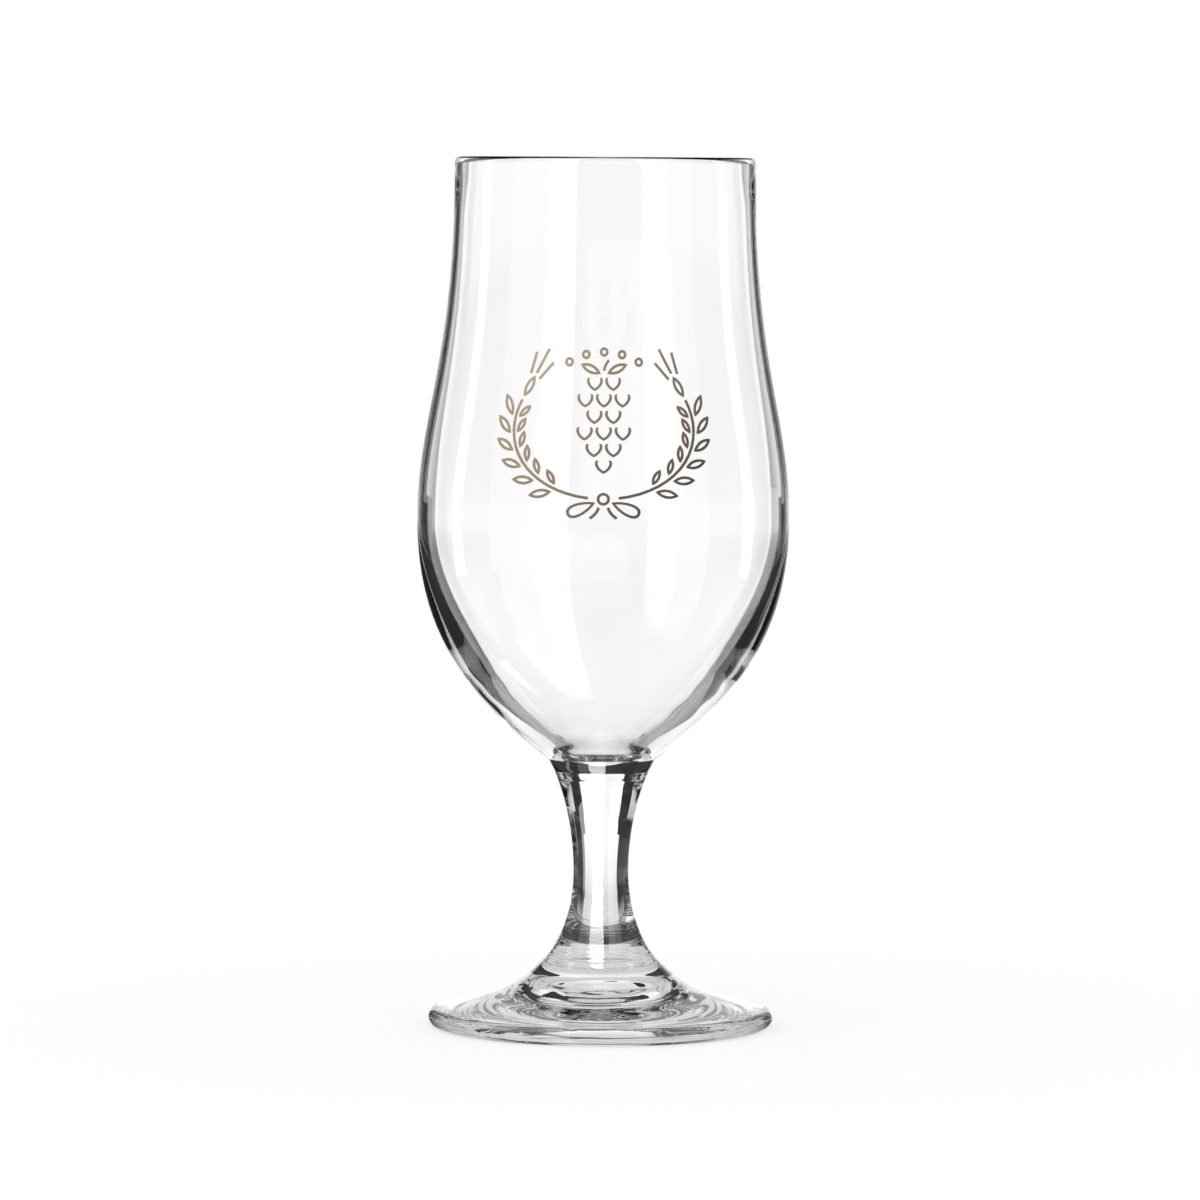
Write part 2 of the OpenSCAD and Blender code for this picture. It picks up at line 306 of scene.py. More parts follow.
def fused_joint():
    """The joint between two pieces of the glass, which heat has made one."""
    material, tree = new_material("fused_joint")
    tree.add("ShaderNodeOutputMaterial", {}, {"Surface": tree.add("ShaderNodeBsdfTransparent")})
    return material


def bronze_ink(finish):
    """Fired bronze ink with a painted reflection from light tan at the top left to dark brown at the bottom
    right, a random mottle, a satin gloss and a grain.
    """
    material, tree = new_material("fired_bronze_ink_painted_reflection")
    low = Vector(map(min, zip(*(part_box(n)[0] for n in PRINT_NODES))))
    high = Vector(map(max, zip(*(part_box(n)[1] for n in PRINT_NODES))))
    place = tree.add("ShaderNodeTexCoord", output="Object")
    x = tree.add("ShaderNodeSeparateXYZ", {}, {"Vector": place}, "X")
    across = (x - low.x) / (high.x - low.x)
    z = tree.add("ShaderNodeSeparateXYZ", {}, {"Vector": place}, "Z")
    down = (high.z - z) / (high.z - low.z)
    speck = tree.add("ShaderNodeTexNoise", {}, {"Vector": place, "Scale": SPECK_NOISE, "Detail": 2})
    cloud = tree.add("ShaderNodeTexNoise", {}, {"Vector": place, "Scale": CLOUD_NOISE, "Detail": 1})
    # Painted reflection: the ink darkens across and down the print; the cloud and speck noises add a random
    # mottle
    painted_reflection_and_mottle = (
        across * REFLECTION_ACROSS_SHARE
        + down * REFLECTION_DOWN_SHARE
        + (cloud - 0.5) * CLOUD_SHARE
        + (speck - 0.5) * SPECK_SHARE
    )
    ink_and_reflection_tone = tree.add(
        "ShaderNodeValToRGB",
        {"stops": list(zip(INK_STOPS, (finish.light, finish.middle, finish.dark)))},
        {"Fac": painted_reflection_and_mottle},
    )
    grain = tree.add(
        "ShaderNodeBump", {}, {"Height": speck, "Strength": GRAIN_STRENGTH, "Distance": GRAIN_HEIGHT}
    )
    shader = tree.add(
        "ShaderNodeBsdfPrincipled",
        {},
        {
            "Base Color": ink_and_reflection_tone,
            "Metallic": finish.gloss,
            "Roughness": INK_ROUGHNESS + speck * INK_ROUGHNESS_SPECK,
            "Normal": grain,
        },
    )
    tree.add("ShaderNodeOutputMaterial", {}, {"Surface": shader})
    return material


# Meshes


def heading(angle):
    return np.array([math.cos(angle), math.sin(angle)])


def bezier(points, steps):
    p = np.array(points)
    t = np.linspace(0, 1, steps + 1)[:, None]
    return (1 - t) ** 3 * p[0] + 3 * (1 - t) ** 2 * t * p[1] + 3 * (1 - t) * t**2 * p[2] + t**3 * p[3]


def arc(middle, radius, start, end, steps):
    return np.array([middle + radius * heading(start + (end - start) * i / steps) for i in range(steps + 1)])


def line(start, end, steps):
    return np.linspace(start, end, steps + 1)


def hump(x, middle, width):
    return np.exp(-(((x - middle) / width) ** 2))


def no_shift(r, z, a):
    return 0 * (r + z + a)


def revolve(name, runs):
    """A closed mesh turned about the upright axis.

    Each run is (points, shift, slot). The first and last point lie on the axis, and shift(r, z, angle) moves
    the surface outwards."""
    angle = np.linspace(0, 2 * math.pi, TURNS, endpoint=False)[None, :]
    rings, slots = [], []
    for k, (points, shift, slot) in enumerate(runs):
        way = np.gradient(points, axis=0)
        way /= np.linalg.norm(way, axis=1)[:, None]
        r, z = points[:, :1], points[:, 1:]
        move = shift(r, z, angle)
        wide, high = r - way[:, 1:] * move, z + way[:, :1] * move
        ring = np.stack([wide * np.cos(angle), wide * np.sin(angle), high + 0 * angle], axis=2)
        start = 0 if k == 0 else 1
        rings.append(ring[start:])
        slots += [slot] * (len(points) - 1)
    rings = np.concatenate(rings)
    top, bottom = rings[0].mean(0), rings[-1].mean(0)
    body = rings[1:-1]
    n = len(body)
    verts = np.vstack([top[None], body.reshape(-1, 3), bottom[None]])
    here = 1 + np.arange(n * TURNS).reshape(n, TURNS)
    beside = np.roll(here, -1, axis=1)
    last = len(verts) - 1
    faces = [(0, int(a), int(b)) for a, b in zip(here[0], beside[0])]
    quads = np.stack([here[:-1], here[1:], beside[1:], beside[:-1]], axis=2).reshape(-1, 4)
    faces += [tuple(q) for q in quads.tolist()]
    faces += [(int(a), last, int(b)) for a, b in zip(here[-1], beside[-1])]
    mesh = bpy.data.meshes.new(name)
    mesh.from_pydata(verts.tolist(), [], faces)
    mesh.polygons.foreach_set("use_smooth", [True] * len(faces))
    mesh.polygons.foreach_set("material_index", np.repeat(slots, TURNS).tolist())
    mesh.update()
    mesh.set_sharp_from_angle(angle=SHARP_BEND)
    return mesh


def glass_piece(name, node, runs, settings):
    """A piece of clear glass that stands for a solid."""
    mesh = revolve(name, runs)
    mesh.materials.append(bpy.data.materials.get("blown_clear_glass") or clear_glass(settings.glass))
    mesh.materials.append(bpy.data.materials.get("fused_joint") or fused_joint())
    piece = bpy.data.objects.new(name, mesh)
    bpy.context.scene.collection.objects.link(piece)
    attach(piece, "root")
    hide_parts(node)


GLASS, JOINT = 0, 1

# Steps along the curves of the profiles
LOWER_IN_STEPS, UPPER_IN_STEPS = 150, 72
LIP_STEPS = 20
UPPER_OUT_STEPS, LOWER_OUT_STEPS = 48, 72
STEM_STEPS = 90
FOOT_TOP_STEPS, EDGE_STEPS, REST_STEPS, HOLLOW_STEPS = 130, 40, 4, 140
JOINT_STEPS = 6
# Slow waves in a surface: share, number round the axis, start in radians, and lean in radians per metre up
WALL_WAVES = (
    (0.50, 2, 0.6, 0),
    (0.35, 3, -1.1, 0),
    (0.35, 5, 2.0, 160),
    (0.04, 2, 0.5, 1000),
    (0.03, 3, 2.2, -1400),
)
STEM_WAVES = ((0.40, 3, 0.7, 60), (0.24, 5, -1.3, -90))
HOLLOW_WAVES = ((0.25, 3, 0.4, 0), (0.15, 7, -0.9, 0))
# Where the marks on the bowl lie and how far they spread, in metres
WALL_WAVE_HEIGHT, WALL_WAVE_SPREAD = 0.016, 0.008
DISH_SPREAD = 0.0097
FLOOR_RING_RADIUS, FLOOR_RING_SPREAD = 0.0083, 0.0013
KNOB_X, KNOB_Y, KNOB_SPREAD = 0.0062, -0.0010, 0.0013
BEAD_SPREAD = 0.0070
# Chill marks on the stem: angle round the axis in degrees, height over the foot and spread up the stem in
# metres, and spread round the stem in degrees
CHILL_MARKS = (
    (205, 0.0318, 0.0012, 26),
    (188, 0.0105, 0.0013, 24),
    (-25, 0.0368, 0.0016, 30),
    (-8, 0.0335, 0.0010, 22),
    (-12, 0.0095, 0.0016, 28),
    (-60, 0.0066, 0.0008, 36),
    (-120, 0.0382, 0.0009, 30),
    (60, 0.0300, 0.0014, 30),
    (120, 0.0120, 0.0014, 34),
)
JOINT_RING_DROP, JOINT_RING_SPREAD = 0.0027, 0.0004
# Fine rings round the joint of stem and foot: heights as shares of their pitch
SEAM_RINGS = (-1.6, -0.5, 0.6, 1.7)
SEAM_PITCH, SEAM_SPREAD = 0.00085, 0.00026
# Rings of the mould in the hollow of the foot: radius and spread in metres, and height as a share
MOULD_RINGS = ((0.0, 0.0040, 1.0), (0.0085, 0.0020, -0.9), (0.0120, 0.0020, 0.9), (0.0170, 0.0026, -0.8))
HOLLOW_WAVE_RADIUS, HOLLOW_WAVE_SPREAD = 0.012, 0.006
# Streaks along the edge of the foot: how many waves each has round the axis, their share and largest lean
EDGE_STREAKS = (2, 3, 5, 7, 11, 16, 23)
STREAK_SHARE = 1 / 3
STREAK_LEAN = 3200
STREAK_SEED = 11


def waves(parts, a, h):
    """The sum of slow waves at the angle a and the height h."""
    return sum(part * np.cos(count * a + start + lean * h) for part, count, start, lean in parts)


def bowl_runs(s):
    rim_out = np.array([s.mouth_width / 2, RIM_HEIGHT - s.lip_height])
    rim_in = rim_out - [s.lip_wall, 0]
    lip_r = (s.lip_wall + s.lip_bead) / 2
    lip = arc(np.zeros(2), 1, math.pi, 0, LIP_STEPS) * [lip_r, s.lip_height] + rim_out - [lip_r, 0]
    belly_out = np.array([s.belly_width / 2, JOINT_HEIGHT + s.belly_height])
    belly_in = belly_out - [s.belly_wall, 0]
    base = np.array([s.base_width / 2, JOINT_HEIGHT])
    floor = np.array([0, JOINT_HEIGHT + s.floor_wall])
    lower_in = [belly_in, belly_in - [0, s.inside_pull_down], floor + [s.inside_pull_floor, 0], floor]
    upper_in = [rim_in, rim_in - [0, s.mouth_pull], belly_in + [0, s.belly_pull_up], belly_in]
    upper_out = [rim_out, rim_out - [0, s.mouth_pull], belly_out + [0, s.belly_pull_up], belly_out]
    lower_out = [
        belly_out,
        belly_out - [0, s.belly_pull_down],
        base + s.base_pull * heading(s.base_slope),
        base,
    ]

    def floor_shift(r, z, a):
        """The thick wall over the floor is uneven, and the floor keeps a sunk ring and a knob."""
        h = z - JOINT_HEIGHT
        wall = s.wave * hump(h, WALL_WAVE_HEIGHT, WALL_WAVE_SPREAD) * waves(WALL_WAVES, a, h)
        ring = s.floor_ring * hump(r, FLOOR_RING_RADIUS, FLOOR_RING_SPREAD)
        sunk = s.floor_dish * hump(r, 0, DISH_SPREAD) + ring
        off_knob = np.hypot(r * np.cos(a) - KNOB_X, r * np.sin(a) - KNOB_Y)
        return wall - sunk + s.floor_knob * hump(off_knob, 0, KNOB_SPREAD)

    def rim_shift(r, z, a):
        """The rim is a little thicker where the fire has drawn the edge back."""
        return s.lip_bead * hump(z, rim_in[1], BEAD_SPREAD)

    return [
        (bezier(lower_in, LOWER_IN_STEPS)[::-1], floor_shift, GLASS),
        (bezier(upper_in, UPPER_IN_STEPS)[::-1], rim_shift, GLASS),
        (lip, no_shift, GLASS),
        (bezier(upper_out, UPPER_OUT_STEPS), no_shift, GLASS),
        (bezier(lower_out, LOWER_OUT_STEPS), no_shift, GLASS),
        (line(base, [0, JOINT_HEIGHT], JOINT_STEPS), no_shift, JOINT),
    ]


def seam_rings(stem, z):
    """Fine rings round the joint of stem and foot."""
    return -stem.seam * sum(hump(z, FOOT_HEIGHT + k * SEAM_PITCH, SEAM_SPREAD) for k in SEAM_RINGS)


def stem_runs(s, base_width):
    base = np.array([base_width / 2, JOINT_HEIGHT])
    waist = np.array([s.waist_width / 2, FOOT_HEIGHT + s.waist_height])
    neck = np.array([s.neck_width / 2, FOOT_HEIGHT])
    upper = [base, base - s.top_pull * heading(s.top_slope), waist + [0, s.waist_pull_up], waist]
    rise = s.neck_pull * heading(math.pi - s.neck_slope)
    lower = [waist, waist - [0, s.waist_pull_down], neck + rise, neck]

    def side_shift(r, z, a):
        """Waves and chill marks that fade out at both ends, and the fine rings at the joints."""
        h = z - FOOT_HEIGHT
        ends = np.sin(np.clip(h / (JOINT_HEIGHT - FOOT_HEIGHT), 0, 1) * math.pi)
        drawn = s.chill * ends * waves(STEM_WAVES, a, h)
        for turn, height, tall, wide in CHILL_MARKS:
            off = np.degrees(np.angle(np.exp(1j * (a - math.radians(turn)))))
            drawn = drawn - s.chill * ends * hump(h, height, tall) * hump(off, 0, wide)
        ring = s.joint_mark * hump(z, JOINT_HEIGHT - JOINT_RING_DROP, JOINT_RING_SPREAD)
        return drawn - ring + seam_rings(s, z)

    return [
        (line([0, JOINT_HEIGHT], base, JOINT_STEPS), no_shift, JOINT),
        (bezier(upper, STEM_STEPS), side_shift, GLASS),
        (bezier(lower, STEM_STEPS), side_shift, GLASS),
        (line(neck, [0, FOOT_HEIGHT], JOINT_STEPS), no_shift, JOINT),
    ]


def foot_runs(s, stem):
    neck = np.array([stem.neck_width / 2, FOOT_HEIGHT])
    edge_r = s.edge_thickness / 2
    edge = np.array([s.width / 2 - edge_r, edge_r])
    edge_top = edge + edge_r * heading(math.pi / 2 - s.edge_slope)
    hollow_r = edge[0] - s.rest_width
    top = [
        neck,
        neck + s.neck_pull * heading(-stem.neck_slope),
        edge_top + s.edge_pull * heading(math.pi - s.edge_slope),
        edge_top,
    ]
    out = np.linspace(1, 0, HOLLOW_STEPS + 1)[:, None]
    hollow = np.hstack([hollow_r * out, s.hollow_depth * (1 - out**2)])
    rng = np.random.default_rng(STREAK_SEED)
    streaks = [
        (STREAK_SHARE, count, rng.uniform(0, 2 * math.pi), rng.uniform(-STREAK_LEAN, STREAK_LEAN))
        for count in EDGE_STREAKS
    ]

    def top_shift(r, z, a):
        return seam_rings(stem, z)

    def edge_shift(r, z, a):
        """Slow streaks along the edge that fade out at its top and its foot."""
        ends = np.clip(np.sin(np.clip(z / s.edge_thickness, 0, 1) * math.pi), 0, 1)
        return s.edge_streak * ends * waves(streaks, a, z)

    def hollow_shift(r, z, a):
        """Rings of the mould in the hollow, a little uneven round the axis."""
        rings = sum(height * hump(r, place, wide) for place, wide, height in MOULD_RINGS)
        uneven = hump(r, HOLLOW_WAVE_RADIUS, HOLLOW_WAVE_SPREAD) * waves(HOLLOW_WAVES, a, z)
        return s.mould_ring * (rings + uneven)

    return [
        (line([0, FOOT_HEIGHT], neck, JOINT_STEPS), no_shift, JOINT),
        (bezier(top, FOOT_TOP_STEPS), top_shift, GLASS),
        (arc(edge, edge_r, math.pi / 2 - s.edge_slope, -math.pi / 2, EDGE_STEPS), edge_shift, GLASS),
        (line([edge[0], 0], [hollow_r, 0], REST_STEPS), no_shift, GLASS),
        (hollow, hollow_shift, GLASS),
    ]


# The studio. Its cards stand round the glass as the camera sees it: to the right, behind and up from the
# middle of the foot, in metres. Turns are degrees from straight behind the glass, to the right if positive,
# and rises are degrees above level. A light level of 1 is white.

# The room above the level of the glass, and below it: (turn, level)
ROOM_LEVEL = ((0, 1.0), (36, 0.8), (60, 0.65), (100, 0.6), (180, 0.7))
ROOM_LOW = (
    (-180, 1.2),
    (-130, 1.2),
    (-120, 0.4),
    (-95, 0.07),
    (-30, 0.06),
    (-18, 1.0),
    (18, 1.0),
    (30, 0.06),
    (95, 0.07),
    (120, 0.4),
    (160, 0.5),
    (168, 1.2),
    (180, 1.2),
)
TABLE_LIGHT = 0.06
TABLE_FRONT_LIGHT = 0.25
TABLE_BACK_LIGHT = 0.36
CEILING_LIGHT = 0.04
SIDE_LIGHT = 0.65
# Where one light of the room fades into the next: first and last turn or rise
LOW_RISES = (-1, -4.5)
TABLE_RISES = (-24, -36)
TABLE_BACK_RISES = (-60, -52)
CEILING_RISES = (22, 31)
TABLE_FRONT_TURNS = (130, 160)
TABLE_BACK_TURNS = (60, 40)
# The backdrop: (place, level) across it and up it
BACKDROP_DISTANCE = 0.227
BACKDROP_SIDE = 0.088
BACKDROP_ACROSS = ((-BACKDROP_SIDE, 1.14), (-0.04, 1.03), (0, 0.97), (0.04, 1.03), (BACKDROP_SIDE, 1.14))
BACKDROP_UP = ((-0.11, 0.72), (-0.045, 0.94), (0, 1.1), (0.03, 1.12), (0.07, 1.0), (0.21, 1.0))
# Flat cards: name, left, right, distance behind the glass, and (height, level) from the bottom up
HIGH_FLAG = ((0.11, 0.03), (0.60, 0.03))
LOW_FLAG = ((-0.14, 0.42), (-0.105, 0.30), (-0.068, 0.04), (0.11, 0.04))
PALE_FLAG = ((-0.14, 0.42), (-0.105, 0.30), (-0.06, 0.12), (-0.01, 0.35), (0.11, 0.35))
STEM_GLOW = ((-0.030, 0.66), (0.014, 0.70), (0.046, 1.04))
PANELS = (
    ("stem_card", -0.0172, 0.0172, 0.045, STEM_GLOW),
    ("flag_left_high", -0.184, -BACKDROP_SIDE, BACKDROP_DISTANCE, HIGH_FLAG),
    ("flag_left_low", -0.260, -BACKDROP_SIDE, BACKDROP_DISTANCE, LOW_FLAG),
    ("flag_right_high", BACKDROP_SIDE, 0.170, BACKDROP_DISTANCE, HIGH_FLAG),
    ("flag_right_pale", BACKDROP_SIDE, 0.125, BACKDROP_DISTANCE, PALE_FLAG),
    ("flag_right_low", 0.125, 0.210, BACKDROP_DISTANCE, LOW_FLAG),
)
# The light that the front of the stem shows
STEM_LIGHT = ("stem_light", -0.0106, 0.0027, -0.02, ((0.0135, 14), (0.057, 14)))
# Dark curved cards: name, first and last turn, distance, bottom, top, level, and how far the start and the
# top thin out
CURBS = (
    ("collar_left", -32, -115, 0.08, 0.028, 0.076, 0.03, 14, 0.018),
    ("collar_right", 32, 115, 0.08, 0.028, 0.076, 0.03, 14, 0.018),
    ("curb_left", -40, -115, 0.3, -0.15, 0.033, 0.05, 0.5, 0.0005),
    ("curb_right", 40, 115, 0.3, -0.15, 0.033, 0.05, 0.5, 0.0005),
)
# Soft boxes that the bowl shows: name, lowest and highest rise, and (turn, level) across
SOFT_BOXES = (
    ("box_left", -85, 60, ((-159, 2.6), (-137, 2.6), (-134, 1.4), (-106, 1.3))),
    ("box_right", -42, 60, ((112, 1.3), (132, 1.4), (135, 2.6), (153, 2.6))),
    ("strip_left", -60, 60, ((-84, 2.4), (-74, 2.4))),
    ("strip_right", -34, 60, ((74.5, 2.4), (85, 2.4))),
)
# Their distance as a share of the walls', and the rounding and the fade of their lower ends in degrees
SOFT_BOX_NEARNESS = 0.86
SOFT_BOX_ROUNDING = 14
SOFT_BOX_FADE = 10
# Steps of the curved cards in degrees, and the points along and up a dark one
ROOM_STEP = 1.0
SOFT_BOX_TURN, SOFT_BOX_RISE = 0.5, 1.0
CURB_COLUMNS, CURB_ROWS = 81, 41
# The floor: its grey, how plain white it is under the glass, and where it turns plain white
FLOOR_WIDTH = 9.0
FLOOR_GREY = 0.96
FLOOR_PLAIN = 0.7
FLOOR_NEAR, FLOOR_FAR = 0.05, 0.25
LAMP_SIZE = 1.6
LAMP_PLACE = (-0.7, -0.8, 1.7)
LAMP_AIM = (0, 0, 0.1)
SENSOR_WIDTH = 36
GLASS_BOUNCES = 16
CLEAR_BOUNCES = 32


def emitting(name, one_sided):
    """A plain light-giving surface whose level and cover are kept on its mesh.

    A one-sided one shines from its back alone."""
    material, tree = new_material(name)
    level = tree.add("ShaderNodeAttribute", {"attribute_name": "level"}, {}, "Color")
    cover = tree.add("ShaderNodeAttribute", {"attribute_name": "level"}, {}, "Alpha")
    if one_sided:
        cover = cover * tree.add("ShaderNodeNewGeometry", {}, {}, "Backfacing")
    clear = tree.add("ShaderNodeBsdfTransparent")
    bright = tree.add("ShaderNodeEmission", {}, {"Color": level})
    surface = tree.add("ShaderNodeMixShader", {}, {0: cover, 1: clear, 2: bright})
    tree.add("ShaderNodeOutputMaterial", {}, {"Surface": surface})
    return material


def card(name, points, levels, camera, seen_through=True, one_sided=False, cover=1.0):
    """A light-giving card that shows only in the glass: by reflection and, if seen_through, behind it.

    Points and levels are grids of the same shape, and so is cover, which thins the card out below 1."""
    rows, columns = levels.shape
    spot = np.arange(rows * columns).reshape(rows, columns)
    faces = np.stack([spot[:-1, :-1], spot[:-1, 1:], spot[1:, 1:], spot[1:, :-1]], axis=2).reshape(-1, 4)
    mesh = bpy.data.meshes.new(name)
    mesh.from_pydata(points.reshape(-1, 3).tolist(), [], faces.tolist())
    light = levels.ravel()
    shade = mesh.color_attributes.new("level", "FLOAT_COLOR", "POINT")
    thick = (levels * 0 + cover).ravel()
    shade.data.foreach_set("color", np.stack([light, light, light, thick], axis=1).ravel())
    kind = "one_sided_card" if one_sided else "studio_card"
    mesh.materials.append(bpy.data.materials.get(kind) or emitting(kind, one_sided))
    piece = bpy.data.objects.new(name, mesh)
    bpy.context.scene.collection.objects.link(piece)
    for ray in ("camera", "diffuse", "shadow", "volume_scatter"):
        setattr(piece, "visible_" + ray, False)
    piece.visible_transmission = seen_through
    piece.parent = camera
    piece.matrix_parent_inverse = camera.matrix_world.inverted()


def shell(turns, rises, distance):
    """Points on a ball round the glass."""
    a, e = np.meshgrid(np.radians(turns), np.radians(rises))
    return distance * np.stack([np.sin(a) * np.cos(e), np.cos(a) * np.cos(e), np.sin(e)], axis=2)


def fade(x, start, end):
    t = np.clip((x - start) / (end - start), 0, 1)
    return t * t * (3 - 2 * t)


def room(distance, camera):
    """The room: a bright backdrop, paler sides above the table, dark sides below it and a dark ceiling."""
    turns, rises = np.arange(-180, 181, ROOM_STEP), np.arange(-90, 91, ROOM_STEP)
    a, e = np.meshgrid(turns, rises)
    side = np.interp(abs(a), *zip(*ROOM_LEVEL))
    low = np.interp(a, *zip(*ROOM_LOW))
    level = side + (low - side) * fade(e, *LOW_RISES)
    front = (TABLE_FRONT_LIGHT - TABLE_LIGHT) * fade(abs(a), *TABLE_FRONT_TURNS)
    back = (TABLE_BACK_LIGHT - TABLE_LIGHT) * fade(abs(a), *TABLE_BACK_TURNS) * fade(e, *TABLE_BACK_RISES)
    level = level + (TABLE_LIGHT + front + back - level) * fade(e, *TABLE_RISES)
    level = level + (CEILING_LIGHT - level) * fade(e, *CEILING_RISES)
    card("room", shell(turns, rises, distance), level, camera)


def panel(name, left, right, behind, steps, camera, **kind):
    """An upright flat card behind the glass, or before it if behind is negative."""
    corners = np.array([[(left, behind, height), (right, behind, height)] for height, _ in steps])
    card(name, corners, np.array([[level, level] for _, level in steps], float), camera, **kind)


def backdrop(camera):
    """The white card behind the glass, a little brighter to its sides and low down, dimmer at its foot."""
    across, shine = zip(*BACKDROP_ACROSS)
    up, glow = zip(*BACKDROP_UP)
    x, z = np.meshgrid(across, up)
    card("backdrop", np.stack([x, 0 * x + BACKDROP_DISTANCE, z], axis=2), np.outer(glow, shine), camera)


def curb(name, start, end, distance, low, high, level, soft_turn, soft_top, camera):
    """A low curved card beside the glass that thins out towards its start and its top."""
    turn, z = np.meshgrid(np.linspace(start, end, CURB_COLUMNS), np.linspace(low, high, CURB_ROWS))
    a = np.radians(turn)
    points = np.stack([distance * np.sin(a), distance * np.cos(a), z], axis=2)
    cover = fade(abs(turn - start), 0, soft_turn) * fade(high - z, 0, soft_top)
    card(name, points, np.full(z.shape, float(level)), camera, cover=cover)


def soft_box(name, low, high, levels, distance, camera):
    """A curved upright light that the glass shows by reflection alone, with a soft rounded lower end."""
    turns = np.arange(levels[0][0], levels[-1][0] + SOFT_BOX_TURN / 2, SOFT_BOX_TURN)
    rises = np.arange(low, high + SOFT_BOX_RISE / 2, SOFT_BOX_RISE)
    across, up = np.meshgrid(np.linspace(-1, 1, len(turns)), rises - low)
    light = np.interp(turns, *zip(*levels)) - SIDE_LIGHT
    light = SIDE_LIGHT + light * fade(up - SOFT_BOX_ROUNDING * across**4, 0, SOFT_BOX_FADE)
    card(name, shell(turns, rises, distance), light, camera, seen_through=False)


def white_world(scene, daylight):
    """A world that looks white and lights the floor and the ink by the daylight."""
    world = bpy.data.worlds.new("white_room")
    scene.world = world
    tree = Tree(world)
    camera, mirrored, through = (
        tree.add("ShaderNodeLightPath", {}, {}, f"Is {kind} Ray")
        for kind in ("Camera", "Glossy", "Transmission")
    )
    shown = camera.most(mirrored).most(through)
    level = shown * (1 - daylight) + daylight
    tree.add(
        "ShaderNodeOutputWorld",
        {},
        {"Surface": tree.add("ShaderNodeBackground", {}, {"Color": (1, 1, 1, 1), "Strength": level})},
    )


def white_floor(scene):
    """A white table that keeps the shadow of the glass near it and turns plain white further out."""
    mesh = bpy.data.meshes.new("floor")
    half = FLOOR_WIDTH / 2
    corners = [(-half, -half, 0), (half, -half, 0), (half, half, 0), (-half, half, 0)]
    mesh.from_pydata(corners, [], [(0, 1, 2, 3)])
    material, tree = new_material("white_table")
    place = tree.add("ShaderNodeTexCoord", output="Object")
    away = tree.add("ShaderNodeVectorMath", {"operation": "LENGTH"}, {0: place}, "Value")
    plain = tree.add(
        "ShaderNodeMapRange",
        {"interpolation_type": "SMOOTHSTEP"},
        {"Value": away, "From Min": FLOOR_NEAR, "From Max": FLOOR_FAR, "To Min": FLOOR_PLAIN},
    )
    matt = tree.add("ShaderNodeBsdfDiffuse", {}, {"Color": (FLOOR_GREY, FLOOR_GREY, FLOOR_GREY, 1)})
    bright = tree.add("ShaderNodeEmission", {}, {"Color": (1, 1, 1, 1), "Strength": 1.0})
    surface = tree.add("ShaderNodeMixShader", {}, {0: plain, 1: matt, 2: bright})
    tree.add("ShaderNodeOutputMaterial", {}, {"Surface": surface})
    mesh.materials.append(material)
    floor = bpy.data.objects.new("floor", mesh)
    scene.collection.objects.link(floor)
    floor.visible_transmission = False
    floor.visible_glossy = False


def aim_camera(scene, s):
    data = bpy.data.cameras.new("camera")
    data.sensor_width = SENSOR_WIDTH
    data.lens = s.lens
    camera = bpy.data.objects.new("camera", data)
    scene.collection.objects.link(camera)
    turn = (
        Matrix.Rotation(s.camera_swing, 4, "Z")
        @ Matrix.Rotation(math.pi / 2 - s.camera_fall, 4, "X")
        @ Matrix.Rotation(s.camera_roll, 4, "Z")
    )
    camera.matrix_world = Matrix.Translation((0, -s.camera_distance, s.camera_height)) @ turn
    scene.camera = camera
    bpy.context.view_layer.update()
    return camera


def soft_lamp(scene, power):
    data = bpy.data.lights.new("soft_lamp", "AREA")
    data.energy = power
    data.size = LAMP_SIZE
    lamp = bpy.data.objects.new("soft_lamp", data)
    scene.collection.objects.link(lamp)
    lamp.location = LAMP_PLACE
    lamp.rotation_euler = (Vector(LAMP_AIM) - Vector(LAMP_PLACE)).to_track_quat("-Z", "Y").to_euler()
    lamp.visible_glossy = False
    lamp.visible_transmission = False
    lamp.visible_camera = False


# Operators


class TULIP_OT_bowl(bpy.types.Operator):
    """Blow the bowl: rounded lip, thin upper wall, thick uneven wall over the floor"""

    bl_idname = "tulip_glass.bowl"
    bl_label = "Bowl"
    bl_options = {"REGISTER", "UNDO"}

    def execute(self, context):
        settings = context.scene.tulip_glass
        glass_piece("glass_bowl", "bowl", bowl_runs(settings.bowl), settings)
        return {"FINISHED"}


class TULIP_OT_stem(bpy.types.Operator):
    """Draw the solid stem, with its chill marks and the fine rings over the foot"""

    bl_idname = "tulip_glass.stem"
    bl_label = "Stem"
    bl_options = {"REGISTER", "UNDO"}

    def execute(self, context):
        settings = context.scene.tulip_glass
        glass_piece("glass_stem", "stem", stem_runs(settings.stem, settings.bowl.base_width), settings)
        return {"FINISHED"}


class TULIP_OT_foot(bpy.types.Operator):
    """Press the foot: cone, rounded edge, flat ring to stand on and ringed hollow"""

    bl_idname = "tulip_glass.foot"
    bl_label = "Foot"
    bl_options = {"REGISTER", "UNDO"}

    def execute(self, context):
        settings = context.scene.tulip_glass
        glass_piece("glass_foot", "foot", foot_runs(settings.foot, settings.stem), settings)
        return {"FINISHED"}


class TULIP_OT_print(bpy.types.Operator):
    """Give the print on the bowl its fired bronze ink"""

    bl_idname = "tulip_glass.print"
    bl_label = "Print"
    bl_options = {"REGISTER", "UNDO"}

    def execute(self, context):
        ink = bronze_ink(context.scene.tulip_glass.ink)
        for name in PRINT_NODES:
            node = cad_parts[name]
            if not node.material_slots:
                raise RuntimeError(f"{name} has no material slot")
            for slot in node.material_slots:
                slot.material = ink
        return {"FINISHED"}


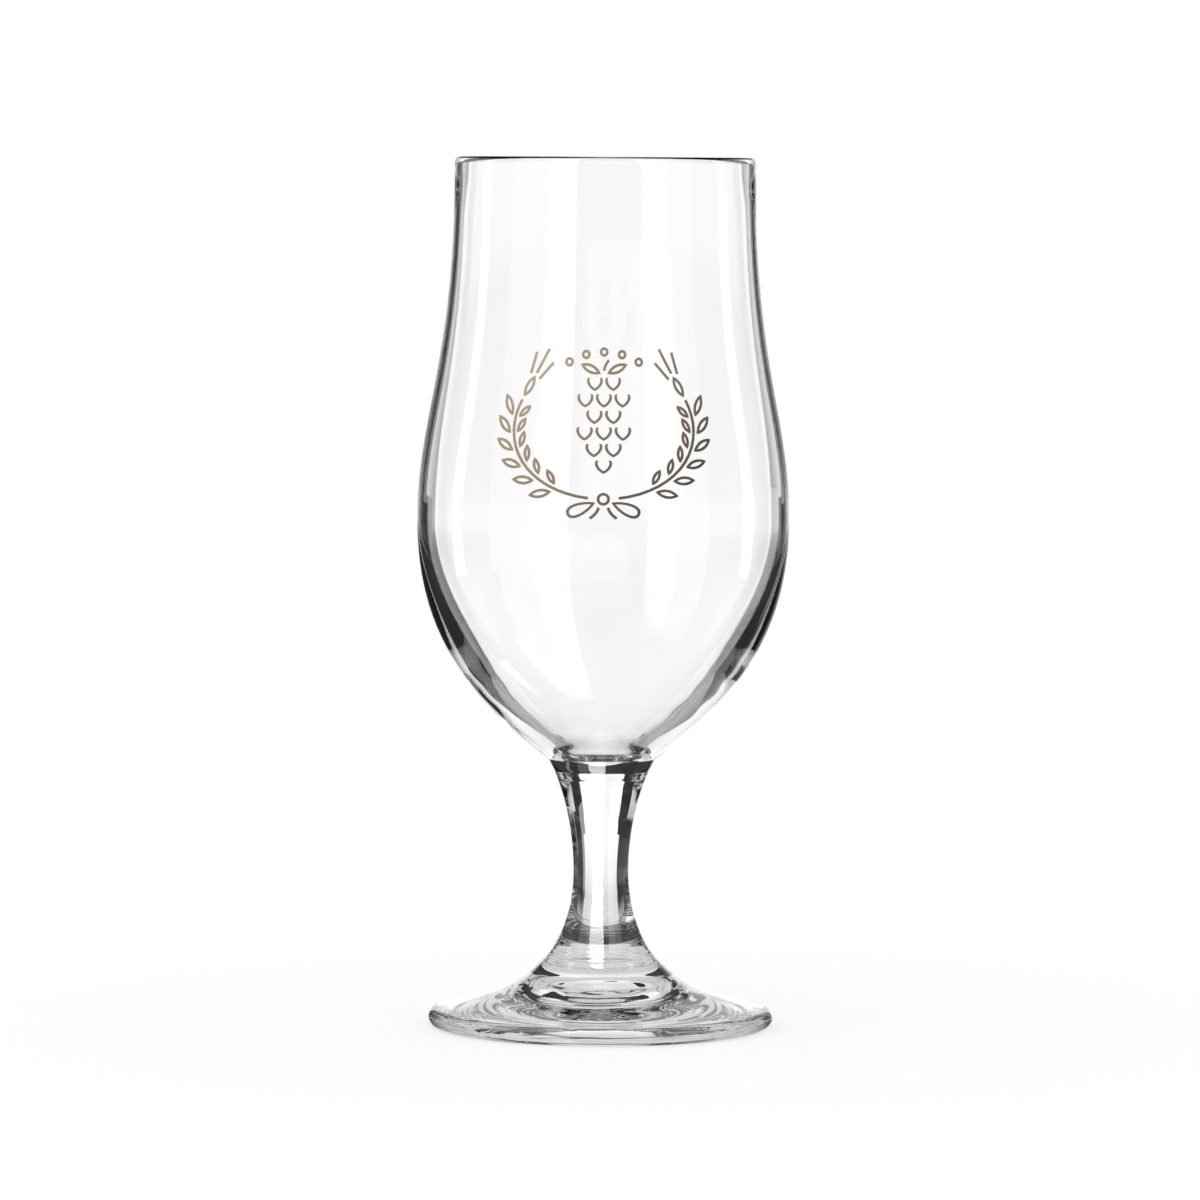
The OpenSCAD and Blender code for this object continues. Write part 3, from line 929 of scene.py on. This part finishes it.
class TULIP_OT_stage(bpy.types.Operator):
    """Set up the white studio: floor, walls, soft boxes, lamp and camera"""

    bl_idname = "tulip_glass.stage"
    bl_label = "Stage"
    bl_options = {"REGISTER", "UNDO"}

    def execute(self, context):
        scene = context.scene
        s = scene.tulip_glass.stage
        camera = aim_camera(scene, s)
        white_world(scene, s.daylight)
        white_floor(scene)
        soft_lamp(scene, s.lamp_power)
        room(s.wall_distance, camera)
        backdrop(camera)
        for row in PANELS:
            panel(*row, camera)
        panel(*STEM_LIGHT, camera, seen_through=False, one_sided=True)
        for row in CURBS:
            curb(*row, camera)
        for row in SOFT_BOXES:
            soft_box(*row, s.wall_distance * SOFT_BOX_NEARNESS, camera)
        scene.view_settings.view_transform = "Standard"
        cycles = scene.cycles
        cycles.max_bounces = GLASS_BOUNCES
        cycles.transmission_bounces = GLASS_BOUNCES
        cycles.glossy_bounces = GLASS_BOUNCES
        cycles.transparent_max_bounces = CLEAR_BOUNCES
        return {"FINISHED"}


class TULIP_PT_glass(bpy.types.Panel):
    """Settings and steps of the tulip glass"""

    bl_idname = "TULIP_PT_glass"
    bl_label = "Tulip beer glass"
    bl_space_type = "VIEW_3D"
    bl_region_type = "UI"
    bl_category = "Glass"

    def draw(self, context):
        settings = context.scene.tulip_glass
        for step in STEPS:
            self.layout.operator("tulip_glass." + step)
        for group in settings.bl_rna.properties.keys():
            owner = getattr(settings, group)
            if isinstance(owner, bpy.types.PropertyGroup):
                box = self.layout.box()
                box.label(text=group.capitalize())
                for key in owner.__annotations__:
                    box.prop(owner, key)


STEPS = ("bowl", "stem", "foot", "print", "stage")
CLASSES = (
    BowlSizes,
    StemSizes,
    FootSizes,
    GlassFinish,
    InkFinish,
    StageSettings,
    TulipGlass,
    TULIP_OT_bowl,
    TULIP_OT_stem,
    TULIP_OT_foot,
    TULIP_OT_print,
    TULIP_OT_stage,
    TULIP_PT_glass,
)


def register():
    for cls in CLASSES:
        bpy.utils.register_class(cls)
    bpy.types.Scene.tulip_glass = bpy.props.PointerProperty(type=TulipGlass)


def unregister():
    del bpy.types.Scene.tulip_glass
    for cls in reversed(CLASSES):
        bpy.utils.unregister_class(cls)


def main():
    register()
    for step in STEPS:
        getattr(bpy.ops.tulip_glass, step)()
    bpy.context.view_layer.update()


if __name__ == "__main__":
    main()
